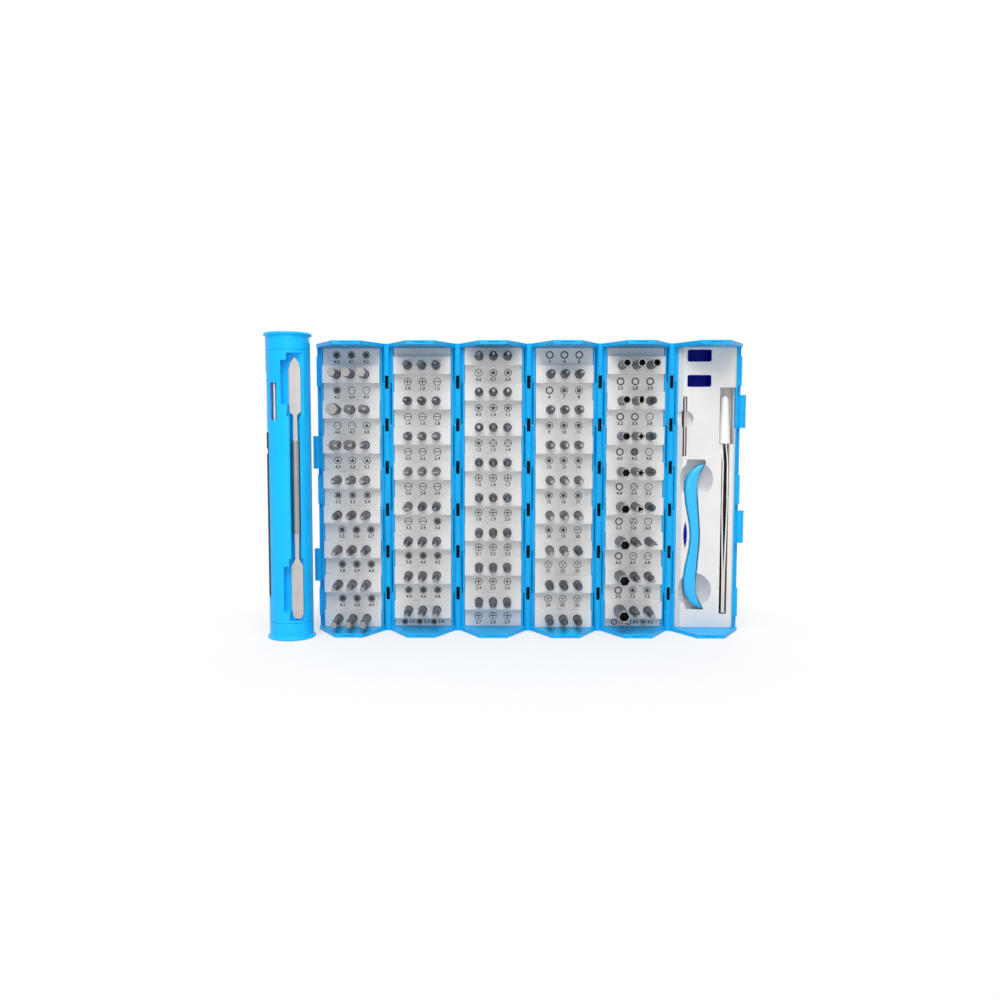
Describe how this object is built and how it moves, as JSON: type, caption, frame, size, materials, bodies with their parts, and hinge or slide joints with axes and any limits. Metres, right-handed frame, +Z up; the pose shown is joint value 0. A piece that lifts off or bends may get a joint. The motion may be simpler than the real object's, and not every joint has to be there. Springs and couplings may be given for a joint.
{
  "type": "precision screwdriver set",
  "caption": "Roll-up precision screwdriver set: hinged panels of bits and small tools that unroll flat or close round a storage tube with a driver and spudger.",
  "frame": {"origin": "middle of the ground under the whole unrolled set", "axes": "+X along the row of panels to the right, -Y the front that the bits point to, +Z up"},
  "size_m": [0.2673, 0.0407, 0.167],
  "materials": {
    "shell_plastic": "satin gloss",
    "insert_plastic": "matt",
    "pin_steel": "dark satin",
    "bit_steel": "satin",
    "tube_plastic": "satin gloss",
    "tool_steel": "satin",
    "grip_plastic": "satin",
    "magnet_plastic": "matt",
    "pick_plastic": "satin",
    "pry_plastic": "gloss",
    "tip_cap_plastic": "satin"
  },
  "bodies": {
    "panel_1": {"shell_1": "shell_plastic", "bit_insert_1": "insert_plastic", "hinge_pin_1": "pin_steel"},
    "panel_2": {"shell_2": "shell_plastic", "bit_insert_2": "insert_plastic", "hinge_pin_2": "pin_steel"},
    "panel_3": {"shell_3": "shell_plastic", "bit_insert_3": "insert_plastic", "hinge_pin_3": "pin_steel"},
    "panel_4": {"shell_4": "shell_plastic", "bit_insert_4": "insert_plastic", "hinge_pin_4": "pin_steel"},
    "panel_5": {"shell_5": "shell_plastic", "bit_insert_5": "insert_plastic", "hinge_pin_5": "pin_steel"},
    "panel_6": {"shell_6": "shell_plastic", "tool_insert": "insert_plastic", "magnetiser": "magnet_plastic"},
    "bits_1": {"hex_bits_1": "bit_steel", "spanner_bits_1": "bit_steel", "triangle_bits_1": "bit_steel", "square_bits_1": "bit_steel"},
    "bits_2": {"pozi_bits_2": "bit_steel", "slotted_bits_2": "bit_steel", "hex_bits_2": "bit_steel"},
    "bits_3": {"tri_wing_bits_3": "bit_steel", "star_bits_3": "bit_steel", "four_wing_bits_3": "bit_steel", "cross_bits_3": "bit_steel"},
    "bits_4": {"six_lobe_bits_4": "bit_steel", "tri_wing_bits_4": "bit_steel"},
    "bits_5": {"nut_sockets_5": "bit_steel", "shaped_sockets_5": "bit_steel", "pin_bits_5": "bit_steel", "pry_bit_5": "bit_steel", "scraper_bit_5": "bit_steel", "six_lobe_bits_5": "bit_steel"},
    "tube": {"tube_body": "tube_plastic", "top_cap": "tube_plastic", "bottom_cap": "tube_plastic"},
    "spudger": {"spudger": "tool_steel"},
    "driver": {"driver_grip": "grip_plastic", "driver_shaft": "tool_steel"},
    "driver_end_cap": {"driver_end_cap": "grip_plastic"},
    "pry_tool": {"pry_tool": "pry_plastic"},
    "tweezers": {"tweezers_left_arm": "tool_steel", "tweezers_right_arm": "tool_steel"},
    "tip_cap": {"tweezers_tip_cap": "tip_cap_plastic"},
    "opening_card": {"opening_card": "tool_steel"},
    "opening_pick": {"opening_pick": "pick_plastic"}
  },
  "joints": [
    {"name": "hinge_1", "type": "hinge", "parent": "panel_1", "child": "panel_2", "pos_m": [-0.06855, 0.01074, 0], "axis": [0, 0, -1], "range_deg": [0, 60]},
    {"name": "hinge_2", "type": "hinge", "parent": "panel_2", "child": "panel_3", "pos_m": [-0.02855, 0.01074, 0], "axis": [0, 0, -1], "range_deg": [0, 60]},
    {"name": "hinge_3", "type": "hinge", "parent": "panel_3", "child": "panel_4", "pos_m": [0.01145, 0.01074, 0], "axis": [0, 0, -1], "range_deg": [0, 60]},
    {"name": "hinge_4", "type": "hinge", "parent": "panel_4", "child": "panel_5", "pos_m": [0.05145, 0.01074, 0], "axis": [0, 0, -1], "range_deg": [0, 60]},
    {"name": "hinge_5", "type": "hinge", "parent": "panel_5", "child": "panel_6", "pos_m": [0.09145, 0.01074, 0], "axis": [0, 0, -1], "range_deg": [0, 60]},
    {"name": "tube_carry", "type": "hinge", "parent": "panel_1", "child": "tube", "pos_m": [-0.09532, 0.00216, 0], "axis": [0, 0, 1], "range_deg": [0, 84.08]},
    {"name": "bits_1_pull", "type": "slide", "parent": "panel_1", "child": "bits_1", "axis": [0, 1, 0], "range_m": [-0.015, 0]},
    {"name": "bits_2_pull", "type": "slide", "parent": "panel_2", "child": "bits_2", "axis": [0, 1, 0], "range_m": [-0.015, 0]},
    {"name": "bits_3_pull", "type": "slide", "parent": "panel_3", "child": "bits_3", "axis": [0, 1, 0], "range_m": [-0.015, 0]},
    {"name": "bits_4_pull", "type": "slide", "parent": "panel_4", "child": "bits_4", "axis": [0, 1, 0], "range_m": [-0.015, 0]},
    {"name": "bits_5_pull", "type": "slide", "parent": "panel_5", "child": "bits_5", "axis": [0, 1, 0], "range_m": [-0.015, 0]},
    {"name": "spudger_lift", "type": "slide", "parent": "tube", "child": "spudger", "axis": [0, 1, 0], "range_m": [-0.02, 0]},
    {"name": "driver_lift", "type": "slide", "parent": "tube", "child": "driver", "axis": [1, 0, 0], "range_m": [-0.026, 0]},
    {"name": "end_cap_spin", "type": "hinge", "parent": "driver", "child": "driver_end_cap", "pos_m": [-0.12755, -0.00946, 0.02375], "axis": [0, 0, 1], "continuous": true},
    {"name": "pry_tool_lift", "type": "slide", "parent": "panel_6", "child": "pry_tool", "axis": [0, 1, 0], "range_m": [-0.02, 0]},
    {"name": "tweezers_lift", "type": "slide", "parent": "panel_6", "child": "tweezers", "axis": [0, 1, 0], "range_m": [-0.02, 0]},
    {"name": "tip_cap_pull", "type": "slide", "parent": "tweezers", "child": "tip_cap", "axis": [0, 0, -1], "range_m": [-0.004, 0]},
    {"name": "card_lift", "type": "slide", "parent": "panel_6", "child": "opening_card", "axis": [0, 1, 0], "range_m": [-0.015, 0]},
    {"name": "pick_lift", "type": "slide", "parent": "panel_6", "child": "opening_pick", "axis": [0, 1, 0], "range_m": [-0.015, 0]}
  ]
}
